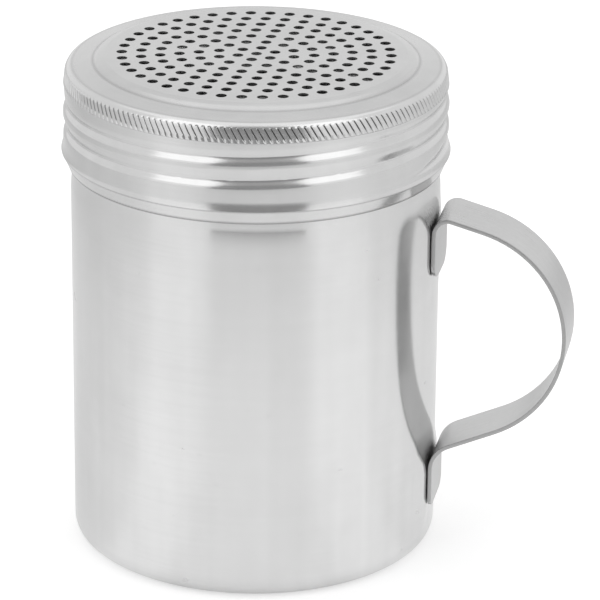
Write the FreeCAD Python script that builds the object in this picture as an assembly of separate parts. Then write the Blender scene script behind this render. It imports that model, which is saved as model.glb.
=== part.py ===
import FreeCAD, Part
import math
import os

# Kitchen sugar dredger: a drawn cup, a screw lid with a perforated top and a bent strip handle.
# Millimetres. Z is up, the origin is the middle of the base, and the handle points along +X.

# Whole object
total_height = 92.0

# Drawn cup, outside sizes
cup_radius = 33.5
cup_sheet = 0.5
base_corner_radius = 2.8
shoulder_rise = 1.2
shoulder_radius = 1.3
neck_inset = 1.0
neck_blend_radius = 0.8

# Pressed lid, outside sizes
lid_sheet = 0.35
lid_height = 19.9
step_run = 1.8
step_drop = 0.9
step_radius = 1.2
shoulder_width = 5.2
shoulder_fall = 0.83
crown_corner_radius = 1.85
skirt_draft = 0.25
skirt_draft_height = 6.2
hem_swell = 0.35
hem_height = 2.9
hem_flare = 1.0
hem_flare_radius = 3.0
hem_crest_radius = 0.5

# Room between the lid and the cup
neck_room = 1.65
hem_clearance = 0.1
shoulder_gap = 1.5

# Sieve holes: one in the middle and rings of six, twelve, eighteen and so on
hole_radius = 0.97
ring_spacing = 3.45
sieve_margin = 2.2
holes_per_step = 6
hole_pattern_angle = 27.0

# Strip handle, with its bends measured to the middle of the strip
strip_width = 12.0
strip_thickness = 0.7
handle_reach = 24.5
handle_drop = 9.65
top_bend_radius = 2.3
root_bend_height = 15.1
upper_tab_length = 9.25
lower_tab_length = 6.9
tab_corner_radius = 3.0
bow_radius_share = 0.429
bow_height_share = 0.596
root_radius_share = 0.127

# Spot welds between the tabs and the cup, placed along each tab from its end
weld_gap = 0.15
weld_radius = 1.4
weld_place_shares = (0.25, 0.75)

# Cutting allowance
overrun = 1.0

lid_edge_height = total_height - lid_height
hem_crest_height = lid_edge_height + hem_height
lid_shoulder_height = total_height - step_drop
shoulder_height = lid_edge_height - shoulder_gap

neck_radius = cup_radius - neck_inset
crown_radius = neck_radius + neck_room + lid_sheet
step_foot_radius = crown_radius - shoulder_width
top_flat_radius = step_foot_radius - step_run
skirt_radius = crown_radius + skirt_draft
hem_radius = skirt_radius + hem_swell
hem_edge_radius = cup_radius + hem_clearance + lid_sheet

shoulder_slope = shoulder_fall / shoulder_width
sheet_drop = lid_sheet * math.hypot(1, shoulder_slope)
rim_height = lid_shoulder_height - shoulder_slope * (neck_radius - step_foot_radius) - sheet_drop

tab_middle = cup_radius + weld_gap + strip_thickness / 2
top_bend_height = lid_edge_height - handle_drop
bend_spacing = top_bend_height - root_bend_height
bow_radius = bend_spacing * bow_radius_share
bow_height = root_bend_height + bend_spacing * bow_height_share
root_bend_radius = bend_spacing * root_radius_share
bow_middle = cup_radius + handle_reach - strip_thickness / 2 - bow_radius
upper_tab_end = top_bend_height - upper_tab_length
lower_tab_end = root_bend_height - lower_tab_length


def at(x, z):
    """A point in the XZ plane."""
    return FreeCAD.Vector(x, 0, z)


def parallel_path(path, offset):
    """The same path shifted sideways, to its left for a positive offset, with its radii following."""
    moved = []
    for i, (x, z, radius) in enumerate(path):
        normals = []
        for a, b in ((i - 1, i), (i, i + 1)):
            if a >= 0 and b < len(path):
                run = (path[b][0] - path[a][0], path[b][1] - path[a][1])
                length = math.hypot(*run)
                normals.append((-run[1] / length, run[0] / length))
        first, last = normals[0], normals[-1]
        spread = 1 + first[0] * last[0] + first[1] * last[1]
        shift_x = offset * (first[0] + last[0]) / spread
        shift_z = offset * (first[1] + last[1]) / spread
        turn = first[0] * last[1] - first[1] * last[0]
        grown = radius - offset * math.copysign(1, turn) if radius > 0 else 0
        moved.append((x + shift_x, z + shift_z, max(grown, 0)))
    return moved


def path_edges(path):
    """Straight runs along the path, with a tangent arc at each corner that has a radius."""
    edges = []
    start = at(path[0][0], path[0][1])
    for i in range(1, len(path)):
        corner = at(path[i][0], path[i][1])
        radius = path[i][2]
        if i == len(path) - 1 or radius == 0:
            edges.append(Part.LineSegment(start, corner).toShape())
            start = corner
            continue
        back = (start - corner).normalize()
        ahead = (at(path[i + 1][0], path[i + 1][1]) - corner).normalize()
        half_angle = back.getAngle(ahead) / 2
        reach = radius / math.tan(half_angle)
        middle = (back + ahead).normalize() * (radius / math.sin(half_angle) - radius)
        enter = corner + back * reach
        leave = corner + ahead * reach
        edges.append(Part.LineSegment(start, enter).toShape())
        edges.append(Part.Arc(enter, corner + middle, leave).toShape())
        start = leave
    return edges


def revolved_sheet(path, thickness, side):
    """A sheet of even thickness, turned about Z from the outside path that it follows."""
    inner = parallel_path(path, thickness * side)
    if path[0][0] == 0:
        inner[0] = (0, inner[0][1], 0)
    edges = path_edges(path)
    edges += path_edges(inner)
    for a, b in ((path[0], inner[0]), (path[-1], inner[-1])):
        edges.append(Part.LineSegment(at(a[0], a[1]), at(b[0], b[1])).toShape())
    face = Part.Face(Part.Wire(Part.__sortEdges__(edges)))
    return face.revolve(FreeCAD.Vector(0, 0, 0), FreeCAD.Vector(0, 0, 1), 360)


def make_cup():
    """The drawn cup: flat base, straight wall, and a neck set in under the lid."""
    path = [
        (0, 0, 0),
        (cup_radius, 0, base_corner_radius),
        (cup_radius, shoulder_height, shoulder_radius),
        (neck_radius, shoulder_height + shoulder_rise, neck_blend_radius),
        (neck_radius, rim_height, 0),
    ]
    return revolved_sheet(path, cup_sheet, 1)


def make_whole_lid():
    """The lid as it is pressed: raised flat top, sloping shoulder, drafted skirt and a tapered hem."""
    path = [
        (0, total_height, 0),
        (top_flat_radius, total_height, step_radius),
        (step_foot_radius, lid_shoulder_height, step_radius),
        (crown_radius, lid_shoulder_height - shoulder_fall, crown_corner_radius),
        (skirt_radius, lid_shoulder_height - skirt_draft_height, 0),
        (skirt_radius, hem_crest_height + hem_flare, hem_flare_radius),
        (hem_radius, hem_crest_height, hem_crest_radius),
        (hem_edge_radius, lid_edge_height, 0),
    ]
    return revolved_sheet(path, lid_sheet, -1)


def sieve_holes():
    """Upright pegs for the holes: one in the middle, then rings that each gain six."""
    floor = total_height - lid_sheet - overrun
    peg_height = lid_sheet + 2 * overrun
    ring_count = int((top_flat_radius - sieve_margin - hole_radius) / ring_spacing)
    pegs = []
    for ring in range(ring_count + 1):
        ring_radius = ring * ring_spacing
        count = max(1, ring * holes_per_step)
        for index in range(count):
            angle = math.radians(hole_pattern_angle + 360 * index / count)
            foot = FreeCAD.Vector(ring_radius * math.cos(angle), ring_radius * math.sin(angle), floor)
            pegs.append(Part.makeCylinder(hole_radius, peg_height, foot))
    return Part.makeCompound(pegs)


def below_crest():
    """The space under the hem's crest, which divides the skirt from the tapered hem ring."""
    reach = hem_radius + overrun
    depth = hem_height + overrun
    return Part.makeCylinder(reach, depth, FreeCAD.Vector(0, 0, hem_crest_height - depth))


def make_lid(whole_lid):
    """The lid above the hem's crest, with its sieve holes."""
    return whole_lid.cut(below_crest()).cut(sieve_holes())


def make_lid_hem(whole_lid):
    """The plain tapered ring below the hem's crest."""
    return whole_lid.common(below_crest())


def touching_angle(first, first_radius, second, second_radius, side):
    """Direction of the normal shared by two circles and the straight run that touches both."""
    dx = first[0] - second[0]
    dz = first[1] - second[1]
    lean = math.acos((second_radius - first_radius) / math.hypot(dx, dz))
    return math.atan2(dz, dx) + side * lean


def on_circle(centre, radius, angle):
    """The point of a circle at an angle from +X."""
    return at(centre[0] + radius * math.cos(angle), centre[1] + radius * math.sin(angle))


def handle_side(offset):
    """One long edge of the strip, shifted outwards from its middle by the offset."""
    top = (tab_middle + top_bend_radius, top_bend_height)
    bow = (bow_middle, bow_height)
    root = (tab_middle + root_bend_radius, root_bend_height)
    upper = touching_angle(top, top_bend_radius, bow, bow_radius, -1)
    lower = touching_angle(root, -root_bend_radius, bow, bow_radius, 1)
    top_radius = top_bend_radius + offset
    wide_radius = bow_radius + offset
    low_radius = root_bend_radius - offset
    bends = [
        (top, top_radius, math.pi, upper),
        (bow, wide_radius, upper, lower),
        (root, low_radius, lower + math.pi, math.pi),
    ]
    edges = []
    place = at(tab_middle - offset, upper_tab_end)
    for centre, radius, begin, finish in bends:
        enter = on_circle(centre, radius, begin)
        middle = on_circle(centre, radius, (begin + finish) / 2)
        leave = on_circle(centre, radius, finish)
        edges.append(Part.LineSegment(place, enter).toShape())
        edges.append(Part.Arc(enter, middle, leave).toShape())
        place = leave
    edges.append(Part.LineSegment(place, at(tab_middle + offset, lower_tab_end)).toShape())
    return edges


def make_handle():
    """The strip handle: one bent strip with a rounded tab at each end."""
    half = strip_thickness / 2
    edges = handle_side(half) + handle_side(-half)
    for end_height in (upper_tab_end, lower_tab_end):
        inner, outer = at(tab_middle - half, end_height), at(tab_middle + half, end_height)
        edges.append(Part.LineSegment(inner, outer).toShape())
    face = Part.Face(Part.Wire(Part.__sortEdges__(edges)))
    face.translate(FreeCAD.Vector(0, -strip_width / 2, 0))
    strip = face.extrude(FreeCAD.Vector(0, strip_width, 0))
    corners = []
    for edge in strip.Edges:
        box = edge.BoundBox
        at_end = min(abs(box.ZMax - end) for end in (upper_tab_end, lower_tab_end)) < half
        if at_end and box.YLength < half and box.ZLength < half:
            corners.append(edge)
    return strip.makeFillet(tab_corner_radius, corners)


def make_spot_welds():
    """Two spot welds on each tab, filling the gap between the strip and the round wall."""
    wall = Part.makeCylinder(cup_radius, total_height)
    welds = []
    for end_height, tab_length in ((upper_tab_end, upper_tab_length), (lower_tab_end, lower_tab_length)):
        for share in weld_place_shares:
            foot = FreeCAD.Vector(cup_radius - overrun, 0, end_height + tab_length * share)
            peg = Part.makeCylinder(weld_radius, overrun + weld_gap, foot, FreeCAD.Vector(1, 0, 0))
            welds.append(peg.cut(wall).Solids[0])
    return Part.makeCompound(welds)


os.makedirs("parts", exist_ok=True)
whole_lid = make_whole_lid()
nodes = {
    "cup": make_cup(),
    "lid": make_lid(whole_lid),
    "lid_hem": make_lid_hem(whole_lid),
    "handle": make_handle(),
    "spot_welds": make_spot_welds(),
}
for name, shape in nodes.items():
    shape.exportStep("parts/" + name + ".step")
    state = "valid" if shape.isValid() else "BROKEN"
    print(name, len(shape.Solids), "solids", round(shape.Volume, 2), "mm3", state)
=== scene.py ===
import math
from collections import namedtuple

import bmesh
import bpy
from mathutils import Matrix, Vector


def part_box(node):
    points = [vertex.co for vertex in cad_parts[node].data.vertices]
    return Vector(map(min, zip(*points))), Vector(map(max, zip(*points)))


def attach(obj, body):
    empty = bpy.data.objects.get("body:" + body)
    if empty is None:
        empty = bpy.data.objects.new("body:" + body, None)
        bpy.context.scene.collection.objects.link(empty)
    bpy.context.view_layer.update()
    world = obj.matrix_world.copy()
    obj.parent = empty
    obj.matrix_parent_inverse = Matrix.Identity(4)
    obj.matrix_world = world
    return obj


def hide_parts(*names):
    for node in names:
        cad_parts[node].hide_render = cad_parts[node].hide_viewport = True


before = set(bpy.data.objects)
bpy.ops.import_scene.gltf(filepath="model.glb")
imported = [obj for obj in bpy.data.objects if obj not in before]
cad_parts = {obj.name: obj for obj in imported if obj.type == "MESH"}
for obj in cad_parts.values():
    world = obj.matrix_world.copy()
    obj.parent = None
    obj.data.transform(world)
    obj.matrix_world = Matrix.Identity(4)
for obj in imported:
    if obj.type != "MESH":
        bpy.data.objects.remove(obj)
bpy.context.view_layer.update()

# Cup. One deep-drawn shell of 0.5 mm stainless steel: a flat base, a rounded lower corner and a neck
# set in under the lid, with the thread for the lid rolled outwards into it. The outside is polished
# round and round, which leaves fine level lines and stretches every reflection upwards.
MM = 0.001
NEAR = 0.02 * MM
rim_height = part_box("cup")[1].z
cup_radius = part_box("cup")[1].x
cup_sheet = 0.5 * MM
cup_columns = 256
disc_radius = 12.0 * MM
base_corner = 2.8 * MM
waist_radius = cup_radius - 0.28 * MM
waist_low = 68.6 * MM
waist_low_bend = 25.0 * MM
waist_high = 70.7 * MM
waist_high_bend = 6.0 * MM
shoulder_height = 72.2 * MM
shoulder_bend = 0.5 * MM
neck_radius = cup_radius - 1.0 * MM
neck_height = 73.2 * MM
neck_bend = 0.8 * MM
neck_bend_room = 2.0 * MM
neck_rows = 64
wall_rows = 40
bend_rows_least = 2
round_profile = 0.5
crisp_angle = math.radians(35)

# Painted shade in the base corner: the ring's radius, height, width and strength
cup_creases = [(cup_radius - 0.6 * MM, 0.6 * MM, 3.5 * MM, 0.12)]


def draw_round_sheet(name, outline, columns, bend_step=9):
    """Draws a ring along an outline of radius, height and bend, with a row every few degrees of a bend."""
    bpy.ops.object.select_all(action="DESELECT")
    radius, height, _ = outline[0]
    bpy.ops.mesh.primitive_circle_add(vertices=columns, radius=radius, location=(0, 0, height))
    piece = bpy.context.object
    piece.name = name
    bpy.ops.object.transform_apply(location=True, rotation=False, scale=False)
    bpy.ops.object.mode_set(mode="EDIT")
    bpy.ops.mesh.select_mode(type="EDGE")
    bpy.ops.mesh.select_all(action="SELECT")
    for (radius, height, _), (wider, higher, _) in zip(outline, outline[1:]):
        bpy.ops.mesh.extrude_edges_move(TRANSFORM_OT_translate={"value": (0, 0, higher - height)})
        grow = wider / radius
        bpy.ops.transform.resize(value=(grow, grow, 1), center_override=(0, 0, higher))
    for before, here, after in zip(outline, outline[1:], outline[2:]):
        radius, height, bend = here
        if bend > 0:
            arrive = Vector((radius - before[0], height - before[1]))
            leave = Vector((after[0] - radius, after[1] - height))
            turn = arrive.angle(leave)
            rows = max(bend_rows_least, math.ceil(math.degrees(turn) / bend_step))
            pick_ring(piece, radius, height)
            bpy.ops.mesh.bevel(offset=bend * math.tan(turn / 2), segments=rows, profile=round_profile)
    return piece


def pick_edges(piece, wanted):
    """Selects the edges that a test of their two ends wants, and nothing else."""
    bpy.ops.mesh.select_all(action="DESELECT")
    net = bmesh.from_edit_mesh(piece.data)
    for edge in net.edges:
        if wanted(edge.verts[0].co, edge.verts[1].co):
            edge.select = True
    bmesh.update_edit_mesh(piece.data)


def pick_ring(piece, radius, height):
    """Selects the ring of edges at a radius and a height."""

    def on_ring(end):
        return abs(end.z - height) < NEAR and abs(end.xy.length - radius) < NEAR

    pick_edges(piece, lambda one, other: on_ring(one) and on_ring(other))


def heights(piece, wanted):
    """The heights of the points that a test of their place wants."""
    return [point.co.z for point in bmesh.from_edit_mesh(piece.data).verts if wanted(point.co)]


def slice_wall(piece, low, high, rows):
    """Cuts the wall between two rings, at a low and a high place, into level rows."""

    def crosses(one, other):
        return abs(min(one.z, other.z) - low) < NEAR and abs(max(one.z, other.z) - high) < NEAR

    pick_edges(piece, crosses)
    bpy.ops.mesh.subdivide(number_cuts=rows - 1)


def ease(share):
    """0 below 0, 1 above 1, and a smooth rise between."""
    share = min(max(share, 0), 1)
    return share * share * (3 - 2 * share)


# Thread of the neck and of the lid's skirt, and where it starts on the neck
thread_pitch = 4.25 * MM
thread_turns = 2.3
thread_fade_turns = 0.12
thread_upper_slope = 0.42
thread_lower_slope = 0.8
thread_root = 0.08 * MM
thread_blend = 0.2 * MM
thread_sink = 1.2 * MM
neck_thread_start = math.radians(137)
neck_thread_height = 76.2 * MM
neck_thread_radius = cup_radius - 0.05 * MM


def press_thread(piece, low, high, start_angle, start_height, peak_radius, side):
    """Rolls the thread into a wall between two heights, outwards for side 1 and inwards for side -1."""
    for point in piece.data.vertices:
        if low < point.co.z < high:
            lead = (math.atan2(point.co.y, point.co.x) - start_angle) / math.tau
            climb = (point.co.z - start_height) / thread_pitch
            along = lead + round(climb - lead)
            above = (climb - along) * thread_pitch
            slope = thread_upper_slope if above > 0 else thread_lower_slope
            away = math.hypot(above * slope, thread_root) - thread_root
            whole = ease(along / thread_fade_turns) * ease((thread_turns - along) / thread_fade_turns)
            rolled = peak_radius - side * (away + (1 - whole) * thread_sink)
            radius = point.co.xy.length
            # The outer of wall and thread, or the inner for side -1, with a soft change between them
            pressed = (radius + rolled + side * math.hypot(radius - rolled, thread_blend)) / 2
            grow = pressed / radius
            point.co.x *= grow
            point.co.y *= grow


# Seats of the handle's tabs: the low end, the high end and the share of a full flat
tab_seats = ((8.6 * MM, 15.5 * MM, 1.0), (53.4 * MM, 62.0 * MM, 0.45))
seat_half_width = 6.0 * MM
seat_rise = 5.0 * MM
seat_fade = 3.5 * MM


def flatten_seats(piece):
    """Flattens the wall where the handle's tabs are pressed on, and lets it run out round again."""
    for point in piece.data.vertices:
        radius = point.co.xy.length
        if point.co.x > 0 and abs(radius - cup_radius) < NEAR:
            out = abs(point.co.y)
            flat = cup_radius**2 / math.sqrt(cup_radius**2 - min(out, seat_half_width) ** 2)
            lift = flat - cup_radius
            for low, high, share in tab_seats:
                held = ease((point.co.z - low) / seat_rise + 1) * ease((high - point.co.z) / seat_rise + 1)
                held = held * share * ease(1 - (out - seat_half_width) / seat_fade)
                grow = 1 + lift * held / radius
                point.co.x *= grow
                point.co.y *= grow


def thicken(piece, thickness, offset=-1):
    """Gives a sheet its thickness, inwards from the outside, or to both sides with an offset of 0."""
    wall = piece.modifiers.new("sheet", "SOLIDIFY")
    wall.thickness = thickness
    wall.offset = offset
    wall.use_even_offset = True
    bpy.ops.object.modifier_apply(modifier=wall.name)


class Wire:
    """A socket in a finish's nodes that can be used in sums, like a number."""

    def __init__(self, tree, socket=None):
        self.tree = tree
        self.socket = socket

    def node(self, kind, settings, inputs, output=0):
        """Adds a node: first its settings, then its sockets' values or wires."""
        made = self.tree.nodes.new(kind)
        for name, value in settings.items():
            setattr(made, name, value)
        for name, value in inputs.items():
            if isinstance(value, Wire):
                self.tree.links.new(value.socket, made.inputs[name])
            else:
                made.inputs[name].default_value = value
        return Wire(self.tree, made.outputs[output] if made.outputs else None)

    def twin(self, output):
        """Another output of the same node."""
        return Wire(self.tree, self.socket.node.outputs[output])

    def maths(self, operation, first, second=0.0):
        """Adds a maths node, which works with one value or two."""
        return self.node("ShaderNodeMath", {"operation": operation}, {0: first, 1: second})

    def __add__(self, other):
        return self.maths("ADD", self, other)

    def __sub__(self, other):
        return self.maths("SUBTRACT", self, other)

    def __mul__(self, other):
        return self.maths("MULTIPLY", self, other)


def clear_nodes(owner):
    """Empties the nodes of a material or a world, and returns a wire to add new ones with."""
    owner.use_nodes = True
    owner.node_tree.nodes.clear()
    return Wire(owner.node_tree)


def fade(nodes, value, start, end, first, last):
    """A smooth change from a first to a last level, between two values."""
    steps = {"Value": value, "From Min": start, "From Max": end, "To Min": first, "To Max": last}
    return nodes.node("ShaderNodeMapRange", {"interpolation_type": "SMOOTHSTEP"}, steps)


# Places of the colour sockets in Blender's mix node
mix_first = 6
mix_second = 7
mix_result = 2


def mix(nodes, share, first, second):
    """A mix of two colours."""
    inputs = {"Factor": share, mix_first: first, mix_second: second}
    return nodes.node("ShaderNodeMix", {"data_type": "RGBA"}, inputs, mix_result)


def shaded(tint, share):
    """A tint made darker or paler, with full cover."""
    return [part * share for part in tint] + [1]


def grain(nodes, place, stretch, detail=3.0):
    """Noise from 0 to 1 at a place, with its marks per metre along X, Y and Z."""
    turned = nodes.node("ShaderNodeMapping", {}, {"Vector": place, "Scale": stretch})
    return nodes.node("ShaderNodeTexNoise", {}, {"Vector": turned, "Scale": 1.0, "Detail": detail})


def crease_shade_paint(nodes, place, creases):
    """Painted shade from the point attribute and in the ring creases, each crease given by its radius,
    height, width and strength.
    """
    flat = nodes.node("ShaderNodeVectorMath", {"operation": "MULTIPLY"}, {0: place, 1: (1, 1, 0)})
    radius = nodes.node("ShaderNodeVectorMath", {"operation": "LENGTH"}, {0: flat}, "Value")
    height = nodes.node("ShaderNodeSeparateXYZ", {}, {"Vector": place}, "Z")
    shade_paint = nodes.node("ShaderNodeAttribute", {"attribute_name": "painted_shade"}, {}, "Fac")
    for crease_radius, crease_height, width, strength in creases:
        across = radius - crease_radius
        up = height - crease_height
        away = nodes.maths("SQRT", across * across + up * up)
        shade_paint = shade_paint + fade(nodes, away, 0.0, width, strength, 0.0)
    return shade_paint


# Marks of every finish, in marks per metre, and what they add to its shade, roughness and relief
broad_stretch = 0.14
cloud_stretch = (90, 90, 70)
scuff_stretch = (310, 260, 520)
scuff_start = 0.755
scuff_full = 0.83
noise_middle = 0.5
dark_share = 0.92
pale_share = 1.08
# Painted shade: the share of the tint where the shade is full
shade_paint_share = 0.35
fine_shade = 0.5
broad_shade = 0.15
draw_shade = 0.6
cloud_shade = 1.1
scuff_shade = 0.3
cloud_rough = 0.12
fine_rough = 0.08
scuff_rough = 0.15
# Roughness added where painted shade lies
shade_paint_rough = 0.2
fine_relief = 0.6
draw_relief = 0.25
scuff_relief = 0.25
relief_strength = 0.04
relief_depth = 0.05 * MM
haze_metallic = 0.93
quarter_turn = 0.25


def steel(name, tint, rough, lines, draws, anisotropic=0.0, line_depth=1.0, creases=()):
    """Polished stainless steel, with fine lines one way and faint draw marks, in marks per metre."""
    material = bpy.data.materials.new(name)
    nodes = clear_nodes(material)
    place = nodes.node("ShaderNodeTexCoord", {}, {}, "Object")
    fine = grain(nodes, place, lines)
    broad = grain(nodes, place, [share * broad_stretch for share in lines])
    drawn = grain(nodes, place, draws, detail=2.0)
    cloud = grain(nodes, place, cloud_stretch, detail=5.0)
    spots = grain(nodes, place, scuff_stretch, detail=1.0)
    scuff_levels = {"Value": spots, "From Min": scuff_start, "From Max": scuff_full}
    scuff = nodes.node("ShaderNodeMapRange", {}, scuff_levels)
    shade_paint = crease_shade_paint(nodes, place, creases)
    shade = (fine - noise_middle) * (fine_shade * line_depth)
    shade = shade + (broad - noise_middle) * (broad_shade * line_depth)
    shade = shade + (drawn - noise_middle) * draw_shade + (cloud - noise_middle) * cloud_shade
    shade = shade + noise_middle - scuff * scuff_shade
    colour = mix(nodes, shade, shaded(tint, dark_share), shaded(tint, pale_share))
    # Painted shade: the colour darkens towards a share of the tint in the creases and where the point
    # attribute says
    colour = mix(nodes, shade_paint, colour, shaded(tint, shade_paint_share))
    roughness = (cloud - noise_middle) * cloud_rough + (fine - noise_middle) * fine_rough
    roughness = roughness + scuff * scuff_rough + shade_paint * shade_paint_rough + rough
    relief = fine * fine_relief + drawn * draw_relief - scuff * scuff_relief
    bump = {"Strength": relief_strength * line_depth, "Distance": relief_depth, "Height": relief}
    normal = nodes.node("ShaderNodeBump", {}, bump)
    surface = nodes.node(
        "ShaderNodeBsdfPrincipled",
        {},
        {
            "Base Color": colour,
            "Metallic": haze_metallic,
            "Roughness": roughness,
            "Anisotropic": anisotropic,
            "Anisotropic Rotation": quarter_turn,
            "Normal": normal,
        },
    )
    nodes.node("ShaderNodeOutputMaterial", {}, {"Surface": surface})
    return material


cup = draw_round_sheet(
    "cup_shell",
    [
        (neck_radius, rim_height, 0),
        (neck_radius, neck_height, neck_bend),
        (waist_radius, shoulder_height, shoulder_bend),
        (waist_radius, waist_high, waist_high_bend),
        (cup_radius, waist_low, waist_low_bend),
        (cup_radius, 0, base_corner),
        (disc_radius, 0, 0),
    ],
    cup_columns,
)
pick_ring(cup, disc_radius, 0)
bpy.ops.mesh.edge_face_add()
neck_bend_top = max(heights(cup, lambda place: place.z < neck_height + neck_bend_room))
slice_wall(cup, neck_bend_top, rim_height, neck_rows)
on_wall = heights(cup, lambda place: abs(place.xy.length - cup_radius) < NEAR)
slice_wall(cup, min(on_wall), max(on_wall), wall_rows)
bpy.ops.mesh.select_all(action="SELECT")
bpy.ops.mesh.normals_make_consistent(inside=False)
bpy.ops.object.mode_set(mode="OBJECT")
press_thread(cup, neck_bend_top, rim_height, neck_thread_start, neck_thread_height, neck_thread_radius, 1)
flatten_seats(cup)
thicken(cup, cup_sheet)
bpy.ops.object.shade_smooth_by_angle(angle=crisp_angle)
cup_polish = steel(
    "cup_polish",
    tint=(0.68, 0.68, 0.68),
    rough=0.175,
    lines=(40, 40, 4200),
    draws=(300, 300, 7),
    anisotropic=0.83,
    creases=cup_creases,
)
cup.data.materials.append(cup_polish)
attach(cup, "cup")
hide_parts("cup")

# Handle. One stainless strip, 12 by 0.7 mm, bent over a former: a tab down the cup at each end, a tight
# bend at the top, one wide bow and an easy bend at the root. Its cut edges are tumbled round and darkened
# with painted shade, and its faces keep the mill's lines along the strip.
Bend = namedtuple("Bend", "x z radius")
strip_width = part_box("handle")[1].y * 2
strip_thickness = 0.7 * MM
tab_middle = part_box("handle")[0].x + strip_thickness / 2
bow_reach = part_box("handle")[1].x - strip_thickness / 2 + 0.19 * MM
upper_tab_end = 53.4 * MM
lower_tab_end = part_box("handle")[0].z + 0.3 * MM
top_bend_radius = 2.3 * MM
root_bend_radius = 5.4 * MM
bow_radius = 20.5 * MM
top_bend = Bend(tab_middle + top_bend_radius, 62.6 * MM, top_bend_radius)
root_bend = Bend(tab_middle + root_bend_radius, 16.05 * MM, root_bend_radius)
bow = Bend(bow_reach - bow_radius, 43.45 * MM, bow_radius)
bend_steps_least = 6
bend_step_degrees = 4
upper_corner = 3.0 * MM
lower_corner = 2.2 * MM
tab_steps = 6
half_columns = [out * MM for out in (1, 2, 3, 3.78, 4.5, 5.12, 5.6, 5.9, 6)]
merge_reach = NEAR / 10
tumbled_edge = 0.12 * MM
tumbled_rows = 3
tumbled_angle = math.radians(60)
edge_painted_shade = 0.4

# Shaping of the tabs, which reaches some shares of the bend's radius into the bend
upper_press = 0.3 * MM
shape_rise = 0.6
shape_depth = 0.25
press_fade = 0.9


def shared_normal(first, second, reach, side):
    """The direction, from +X, of the normal of the straight run between two bends."""
    across = first.x - second.x
    up = first.z - second.z
    return math.atan2(up, across) + side * math.acos(reach / math.hypot(across, up))


def on_bend(bend, angle):
    """The place on a bend at an angle from +X."""
    return bend.x + bend.radius * math.cos(angle), bend.z + bend.radius * math.sin(angle)


def bend_strip(bend, angle):
    """Bends the strip's end round a former, over the top for a positive angle."""
    steps = max(bend_steps_least, math.ceil(abs(math.degrees(angle)) / bend_step_degrees))
    bpy.ops.mesh.spin(steps=steps, angle=angle, center=(bend.x, 0, bend.z), axis=(0, -1, 0))


def run_strip(start, end):
    """Carries the strip's end straight on from one place to another."""
    run = (end[0] - start[0], 0, end[1] - start[1])
    bpy.ops.mesh.extrude_edges_move(TRANSFORM_OT_translate={"value": run})


def run_tab(start, end):
    """Carries the strip's end along a tab in short steps, so that the tab can be shaped."""
    for step in range(tab_steps):
        low = start + (end - start) * step / tab_steps
        high = start + (end - start) * (step + 1) / tab_steps
        run_strip((tab_middle, low), (tab_middle, high))


def shape_tab(end, bend, corner, press=0.0):
    """Rounds a tab's corners and presses its near edge to the cup, less and less into the bend."""
    top = bend.z + shape_rise * bend.radius
    side = tab_middle + shape_depth * bend.radius
    for point in handle.data.vertices:
        if point.co.x < side and end - NEAR < point.co.z < top:
            below_bend = max(0, (bend.z - point.co.z) / (bend.z - end))
            past = max(0, abs(point.co.y) - strip_width / 2 + corner)
            lift = corner - math.sqrt(max(0, corner**2 - past**2))
            near = max(0, -2 * point.co.y / strip_width)
            point.co.x -= press * near**2 * ease((top - point.co.z) / (press_fade * bend.radius))
            point.co.z += lift * below_bend


upper_normal = shared_normal(top_bend, bow, bow.radius - top_bend.radius, -1)
lower_normal = shared_normal(root_bend, bow, bow.radius + root_bend.radius, 1)
root_normal = lower_normal + math.pi
bpy.ops.object.select_all(action="DESELECT")
bpy.ops.mesh.primitive_plane_add(
    size=strip_width,
    location=(tab_middle + strip_width / 2, 0, upper_tab_end),
)
handle = bpy.context.object
handle.name = "handle_strip"
bpy.ops.object.transform_apply(location=True, rotation=False, scale=False)

# The strip starts as one edge across the tab's end, with its points closer together towards the corners
bpy.ops.object.mode_set(mode="EDIT")
bpy.ops.mesh.select_mode(type="VERT")
bpy.ops.mesh.select_all(action="DESELECT")
net = bmesh.from_edit_mesh(handle.data)
for point in net.verts:
    point.select = point.co.x > tab_middle + NEAR
bmesh.update_edit_mesh(handle.data)
bpy.ops.mesh.delete(type="VERT")
bpy.ops.mesh.select_mode(type="EDGE")
bpy.ops.mesh.select_all(action="SELECT")
bpy.ops.mesh.subdivide(number_cuts=2 * len(half_columns) - 1)
net = bmesh.from_edit_mesh(handle.data)
across = sorted(net.verts, key=lambda point: point.co.y)
middle = len(half_columns)
for index, out in enumerate(half_columns):
    across[middle + 1 + index].co.y = out
    across[middle - 1 - index].co.y = -out
bmesh.update_edit_mesh(handle.data)
bpy.ops.mesh.select_all(action="SELECT")

# Then that edge is carried along the strip, from the upper tab to the lower one
run_tab(upper_tab_end, top_bend.z)
bend_strip(top_bend, math.pi - upper_normal)
run_strip(on_bend(top_bend, upper_normal), on_bend(bow, upper_normal))
bend_strip(bow, upper_normal - lower_normal)
run_strip(on_bend(bow, lower_normal), on_bend(root_bend, root_normal))
bend_strip(root_bend, lower_normal)
run_tab(root_bend.z, lower_tab_end)
bpy.ops.mesh.select_all(action="SELECT")
bpy.ops.mesh.remove_doubles(threshold=merge_reach)
bpy.ops.mesh.normals_make_consistent(inside=False)
bpy.ops.object.mode_set(mode="OBJECT")
shape_tab(upper_tab_end, top_bend, upper_corner, upper_press)
shape_tab(lower_tab_end, root_bend, lower_corner)
thicken(handle, strip_thickness, offset=0)
tumble = handle.modifiers.new("tumble", "BEVEL")
tumble.width = tumbled_edge
tumble.segments = tumbled_rows
tumble.limit_method = "ANGLE"
tumble.angle_limit = tumbled_angle
bpy.ops.object.modifier_apply(modifier=tumble.name)
bpy.ops.object.shade_smooth_by_angle(angle=crisp_angle)
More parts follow.
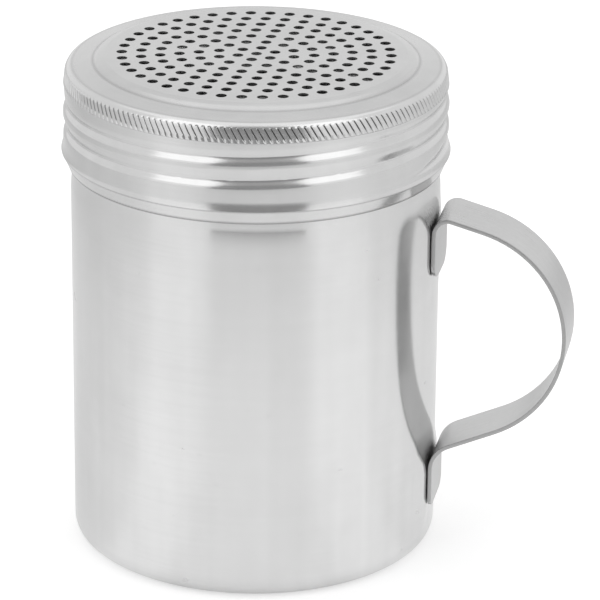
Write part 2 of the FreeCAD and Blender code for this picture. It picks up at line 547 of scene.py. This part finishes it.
# Painted shade on the tumbled edges, kept in a point attribute for the finish
painted_shade = handle.data.attributes.new("painted_shade", "FLOAT", "POINT")
for point in handle.data.vertices:
    on_edge = abs(point.co.y) > strip_width / 2 - tumbled_edge
    painted_shade.data[point.index].value = edge_painted_shade if on_edge else 0
strip_steel = steel(
    "strip_steel",
    tint=(0.54, 0.54, 0.54),
    rough=0.3,
    lines=(240, 2800, 240),
    draws=(1100, 1100, 1100),
    line_depth=2.2,
)
handle.data.materials.append(strip_steel)
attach(handle, "cup")
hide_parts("handle")

# Spot welds. Two nuggets of fused steel under each tab, melted together by a current through the tab and
# the wall. They stand in the gap of 0.15 mm, dull and a little browned by the heat.
weld_steel = steel(
    "weld_steel",
    tint=(0.5, 0.49, 0.48),
    rough=0.45,
    lines=(900, 900, 900),
    draws=(300, 300, 300),
)
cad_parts["spot_welds"].data.materials.clear()
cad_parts["spot_welds"].data.materials.append(weld_steel)

# Lid. One pressing of 0.35 mm stainless steel: a raised flat top with a punched sieve, a soft step, a
# sloping shoulder, a round crown with a knurled grip band of 185 leaning cuts, a right-hand thread rolled
# inwards, and a hem that flares and closes in again. Its creases, the bottoms of the grip band's cuts and
# its top carry painted shade.
top_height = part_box("lid")[1].z
lid_edge_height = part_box("lid_hem")[0].z
lid_sheet = 0.35 * MM
lid_columns = 256
top_flat_radius = 27.2 * MM
step_fall_radius = 28.55 * MM
step_fall = 0.34 * MM
step_bend = 1.5 * MM
step_foot_radius = 29.3 * MM
step_foot_height = top_height - 0.9 * MM
step_foot_bend = 0.1 * MM
crown_radius = 34.5 * MM
crown_height = step_foot_height - 0.83 * MM
crown_bend = 1.475 * MM
wall_foot_height = 85.0 * MM
wall_foot_rows = 11
thread_top_height = 83.6 * MM
thread_top_rows = 8
hem_crest_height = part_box("lid_hem")[1].z - 0.15 * MM
hem_crest_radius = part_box("lid")[1].x
hem_crest_bend = 0.5 * MM
skirt_radius = hem_crest_radius - 0.3 * MM
skirt_rows = 40
hem_flare_height = hem_crest_height + 0.5 * MM
hem_flare_bend = 2.6 * MM
hem_flare_room = 1.0 * MM
hem_edge_radius = cup_radius + 0.45 * MM
lid_thread_start = math.radians(-43)
lid_thread_height = 76.3 * MM
lid_thread_radius = skirt_radius - 0.75 * MM

# Grip band: its heights and swell, its leaning cuts, and the places and depths of one tooth's points
grip_top = 89.9 * MM
grip_swell = 0.14 * MM
grip_lean_in = 0.24 * MM
grip_foot = 87.12 * MM
grip_low = 86.97 * MM
grip_rows = 5
grip_bend_step = 4.5
grip_teeth = 185
grip_depth = 0.24 * MM
grip_lean = math.radians(2.8)
grip_places = (0, 0.36, 0.5, 0.64)
grip_cuts = (0, 0.06, 1, 0.06)
grip_columns = len(grip_places) * grip_teeth
grip_upper_fade = 7
grip_lower_fade = 3

# Sieve, with one hole in the middle and rings that each gain six
sieve_spacing = 3.45 * MM
sieve_rings = 7
sieve_gain = 6
sieve_hole = 0.97 * MM
sieve_turn = math.radians(27)
punch_sides = 24
punch_length = 4 * lid_sheet

# Painted shade in the step, the crown, the hem's crest and its edge, and a thin painted shade on the top
lid_creases = [
    (step_foot_radius, step_foot_height, 0.5 * MM, 0.3),
    (crown_radius - 1.35 * MM, crown_height + 0.22 * MM, 0.6 * MM, 0.16),
    (hem_crest_radius, hem_crest_height - 0.3 * MM, 0.35 * MM, 0.6),
    (hem_edge_radius, lid_edge_height, 0.7 * MM, 0.8),
]
top_painted_shade = 0.2
top_painted_shade_radius = 33.2 * MM


def trim_level(height, keep_above):
    """Cuts the sheet through at a height and keeps one side."""
    bpy.ops.mesh.select_all(action="SELECT")
    bpy.ops.mesh.bisect(
        plane_co=(0, 0, height),
        plane_no=(0, 0, 1),
        clear_inner=keep_above,
        clear_outer=not keep_above,
        threshold=NEAR,
    )


def join(pieces):
    """Joins pieces into the first of them."""
    bpy.ops.object.select_all(action="DESELECT")
    for piece in pieces:
        piece.select_set(True)
    bpy.context.view_layer.objects.active = pieces[0]
    bpy.ops.object.join()


lid = draw_round_sheet(
    "lid_pressing",
    [
        (hem_edge_radius, lid_edge_height, 0),
        (hem_crest_radius, hem_crest_height, hem_crest_bend),
        (skirt_radius, hem_flare_height, hem_flare_bend),
        (skirt_radius, thread_top_height, 0),
        (crown_radius, wall_foot_height, 0),
        (crown_radius, grip_low, 0),
    ],
    lid_columns,
)
flare_top = max(heights(lid, lambda place: place.z < hem_flare_height + hem_flare_room))
slice_wall(lid, flare_top, thread_top_height, skirt_rows)
slice_wall(lid, thread_top_height, wall_foot_height, thread_top_rows)
slice_wall(lid, wall_foot_height, grip_low, wall_foot_rows)
bpy.ops.object.mode_set(mode="OBJECT")
press_thread(lid, flare_top, grip_low, lid_thread_start, lid_thread_height, lid_thread_radius, -1)

crown_outline = [
    (crown_radius, grip_low, 0),
    (crown_radius + grip_swell, grip_foot, 0),
    (crown_radius - grip_lean_in, crown_height, crown_bend),
    (step_foot_radius, step_foot_height, step_foot_bend),
    (step_fall_radius, top_height - step_fall, step_bend),
    (top_flat_radius, top_height, step_bend),
    (disc_radius, top_height, 0),
]
crown = draw_round_sheet("crown", crown_outline, lid_columns)
pick_ring(crown, disc_radius, top_height)
bpy.ops.mesh.edge_face_add()
trim_level(grip_top, True)
bpy.ops.object.mode_set(mode="OBJECT")

# The grip band has many more columns than the rest, so it is drawn by itself and trimmed at its top
grip = draw_round_sheet("grip", crown_outline[:4], grip_columns, grip_bend_step)
bend_foot = min(heights(grip, lambda place: place.z > grip_foot + NEAR))
slice_wall(grip, grip_foot, bend_foot, grip_rows)
trim_level(grip_top, False)
bpy.ops.object.mode_set(mode="OBJECT")
# Painted shade in the cuts of the grip band, as strong as each point is cut
painted_shade = grip.data.attributes.new("painted_shade", "FLOAT", "POINT")
for point in grip.data.vertices:
    turned = math.atan2(point.co.y, point.co.x) / math.tau
    tooth, column = divmod(round(turned * grip_columns), len(grip_places))
    fall = (grip_top - point.co.z) / (grip_top - grip_low)
    held = ease(fall * grip_upper_fade) * ease((1 - fall) * grip_lower_fade)
    cut = grip_cuts[column] * grip_depth * held
    angle = (tooth + grip_places[column]) / grip_teeth * math.tau + grip_lean * (fall - 0.5)
    radius = point.co.xy.length - cut
    point.co.x = radius * math.cos(angle)
    point.co.y = radius * math.sin(angle)
    painted_shade.data[point.index].value = cut / grip_depth

join([lid, crown, grip])
bpy.ops.object.mode_set(mode="EDIT")
bpy.ops.mesh.select_mode(type="EDGE")
for seam in (grip_top, grip_low):
    pick_edges(lid, lambda one, other: abs(one.z - seam) < NEAR and abs(other.z - seam) < NEAR)
    bpy.ops.mesh.bridge_edge_loops()
bpy.ops.mesh.select_all(action="SELECT")
bpy.ops.mesh.normals_make_consistent(inside=False)
bpy.ops.object.mode_set(mode="OBJECT")
thicken(lid, lid_sheet)

bpy.ops.object.select_all(action="DESELECT")
bpy.ops.mesh.primitive_cylinder_add(
    vertices=punch_sides,
    radius=sieve_hole,
    depth=punch_length,
    location=(0, 0, top_height),
)
sieve = bpy.context.object
punches = [sieve]
for ring in range(1, sieve_rings + 1):
    ring_radius = ring * sieve_spacing
    count = ring * sieve_gain
    for index in range(count):
        angle = sieve_turn + math.tau * index / count
        punch = sieve.copy()
        punch.data = sieve.data.copy()
        bpy.context.scene.collection.objects.link(punch)
        punch.location = (ring_radius * math.cos(angle), ring_radius * math.sin(angle), top_height)
        punches.append(punch)
join(punches)
bpy.ops.object.select_all(action="DESELECT")
lid.select_set(True)
bpy.context.view_layer.objects.active = lid
punching = lid.modifiers.new("sieve", "BOOLEAN")
punching.object = sieve
punching.solver = "EXACT"
bpy.ops.object.modifier_apply(modifier=punching.name)
bpy.data.objects.remove(sieve)
bpy.ops.object.shade_smooth_by_angle(angle=crisp_angle)
# Painted shade on the top: the flat, the step and the shoulder are a little darker
painted_shade = lid.data.attributes["painted_shade"]
for point in lid.data.vertices:
    if point.co.z > crown_height - lid_sheet and point.co.xy.length < top_painted_shade_radius:
        painted_shade.data[point.index].value = top_painted_shade
lid_polish = steel(
    "lid_polish",
    tint=(0.62, 0.62, 0.62),
    rough=0.2,
    lines=(40, 40, 3600),
    draws=(240, 240, 40),
    anisotropic=0.4,
    creases=lid_creases,
)
lid.data.materials.clear()
lid.data.materials.append(lid_polish)
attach(lid, "lid")
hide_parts("lid", "lid_hem")

# Studio. A white floor in a white room. A high and a low soft box stand to the left and to the right of
# the camera and one hangs overhead. A dark flag in front of the camera, which the camera looks through,
# gives the polished steel its dark middle.
camera_azimuth = math.radians(-78.4)
camera_distance = 661.1 * MM
camera_height = 308.83 * MM
camera_pitch = math.radians(21.789)
camera_yaw = math.radians(0.711)
camera_roll = math.radians(0.547)
camera_lens = 232.7
camera_sight = 20.0
aim = Vector((0, 0, 60.0 * MM))
white = (1, 1, 1, 1)
room_strength = 0.85

# Floor, which glows in the steel: brighter in two pools beside the camera, dimmer behind and further out
floor_sides = 64
floor_reach = 3.0
floor_tint = (0.7, 0.7, 0.7, 1)
floor_white = 0.47
floor_glow = 0.42
floor_pool = 0.1
pool_swing = math.radians(48)
pool_inner = math.radians(8)
pool_outer = math.radians(24)
floor_dusk = 0.2
dusk_swing = math.radians(15)
dusk_start = math.radians(60)
dusk_full = math.radians(140)
floor_fall = 0.14
fall_start = 0.1
fall_full = 0.22

# Soft boxes: degrees beside the camera and above the aim, distance, width, height and strength
soft_boxes = [
    (-47, 48, 0.95, 0.62, 0.72, 0.65),
    (47, 48, 0.95, 0.62, 0.72, 0.65),
    (-45, 12, 0.95, 0.62, 0.40, 0.2),
    (45, 12, 0.95, 0.62, 0.40, 0.2),
    (0, 102, 1.0, 1.2, 0.9, 0.25),
]

# Flag, dark up to one height and paler above another
flag_distance = 0.45
flag_shift = math.radians(1.5)
flag_width = 0.47
flag_height = 1.37
flag_dark_height = 0.5
flag_pale_height = 0.8
flag_dark = 0.34
flag_pale = 0.65


def direction(azimuth, rise=0.0):
    """The direction at an azimuth from +X and a rise above level."""
    level = math.cos(rise)
    return Vector((math.cos(azimuth) * level, math.sin(azimuth) * level, math.sin(rise)))


room = bpy.data.worlds.new("white_room")
bpy.context.scene.world = room
air = clear_nodes(room)
camera_ray = air.node("ShaderNodeLightPath", {}, {}, "Is Camera Ray")
glossy_ray = camera_ray.twin("Is Glossy Ray")
clear_ray = camera_ray.twin("Is Transmission Ray")
seen = air.maths("MINIMUM", camera_ray + glossy_ray + clear_ray, 1.0)
strength = seen * (1 - room_strength) + room_strength
light = air.node("ShaderNodeBackground", {}, {"Color": white, "Strength": strength})
air.node("ShaderNodeOutputWorld", {}, {"Surface": light})

bpy.ops.object.select_all(action="DESELECT")
bpy.ops.mesh.primitive_circle_add(vertices=floor_sides, radius=floor_reach, fill_type="NGON")
floor = bpy.context.object
floor.name = "floor"
floor_paint = bpy.data.materials.new("floor_paint")
paint = clear_nodes(floor_paint)
camera_ray = paint.node("ShaderNodeLightPath", {}, {}, "Is Camera Ray")
glossy_ray = camera_ray.twin("Is Glossy Ray")
matt = paint.node("ShaderNodeBsdfDiffuse", {}, {"Color": floor_tint})
ground = paint.node("ShaderNodeTexCoord", {}, {}, "Object")
turned = paint.node("ShaderNodeMapping", {}, {"Vector": ground, "Rotation": (0, 0, -camera_azimuth)})
ahead = paint.node("ShaderNodeSeparateXYZ", {}, {"Vector": turned}, "X")
swing = paint.maths("ARCTAN2", ahead.twin("Y"), ahead)
reach = paint.node("ShaderNodeVectorMath", {"operation": "LENGTH"}, {0: ground}, "Value")
beside = paint.maths("ABSOLUTE", paint.maths("ABSOLUTE", swing) - pool_swing)
behind = paint.maths("ABSOLUTE", swing - dusk_swing)
pool = fade(paint, beside, pool_inner, pool_outer, floor_pool, 0.0)
dusk = fade(paint, behind, dusk_start, dusk_full, 0.0, floor_dusk)
fall = fade(paint, reach, fall_start, fall_full, 0.0, floor_fall)
glow_strength = camera_ray * floor_white + glossy_ray * (pool - dusk - fall + floor_glow)
glow = paint.node("ShaderNodeEmission", {}, {"Color": white, "Strength": glow_strength})
both = paint.node("ShaderNodeAddShader", {}, {0: matt, 1: glow})
paint.node("ShaderNodeOutputMaterial", {}, {"Surface": both})
floor.data.materials.append(floor_paint)

for side, rise, distance, width, height, radiance in soft_boxes:
    toward = direction(camera_azimuth + math.radians(side), math.radians(rise))
    lamp = bpy.data.lights.new("soft_box", "AREA")
    lamp.shape = "RECTANGLE"
    lamp.size = width
    lamp.size_y = height
    lamp.energy = radiance * math.pi * width * height
    stand = bpy.data.objects.new("soft_box", lamp)
    bpy.context.scene.collection.objects.link(stand)
    stand.location = aim + toward * distance
    stand.rotation_euler = toward.to_track_quat("Z", "Y").to_euler()

flag_azimuth = camera_azimuth + flag_shift
bpy.ops.object.select_all(action="DESELECT")
bpy.ops.mesh.primitive_plane_add(
    size=1,
    location=direction(flag_azimuth) * flag_distance + Vector((0, 0, flag_height / 2)),
    rotation=(math.pi / 2, 0, flag_azimuth + math.pi / 2),
)
flag = bpy.context.object
flag.name = "flag"
flag.scale = (flag_width, flag_height, 1)
bpy.ops.object.transform_apply(location=True, rotation=True, scale=True)
cloth = bpy.data.materials.new("flag_cloth")
weave = clear_nodes(cloth)
camera_ray = weave.node("ShaderNodeLightPath", {}, {}, "Is Camera Ray")
place = weave.node("ShaderNodeTexCoord", {}, {}, "Object")
level = weave.node("ShaderNodeSeparateXYZ", {}, {"Vector": place}, "Z")
shine = fade(weave, level, flag_dark_height, flag_pale_height, flag_dark, flag_pale)
dark = weave.node("ShaderNodeEmission", {}, {"Color": white, "Strength": shine})
clear = weave.node("ShaderNodeBsdfTransparent", {}, {})
shown = weave.node("ShaderNodeMixShader", {}, {0: camera_ray, 1: dark, 2: clear})
weave.node("ShaderNodeOutputMaterial", {}, {"Surface": shown})
flag.data.materials.append(cloth)

lens = bpy.data.cameras.new("camera")
lens.lens = camera_lens
lens.clip_end = camera_sight
camera = bpy.data.objects.new("camera", lens)
bpy.context.scene.collection.objects.link(camera)
stands = direction(camera_azimuth) * camera_distance + Vector((0, 0, camera_height))
heading = Matrix.Rotation(camera_azimuth + math.pi / 2 - camera_yaw, 4, "Z")
tilt = Matrix.Rotation(math.pi / 2 - camera_pitch, 4, "X")
roll = Matrix.Rotation(camera_roll, 4, "Z")
camera.matrix_world = Matrix.Translation(stands) @ heading @ tilt @ roll
bpy.context.scene.camera = camera
bpy.context.scene.view_settings.view_transform = "Standard"
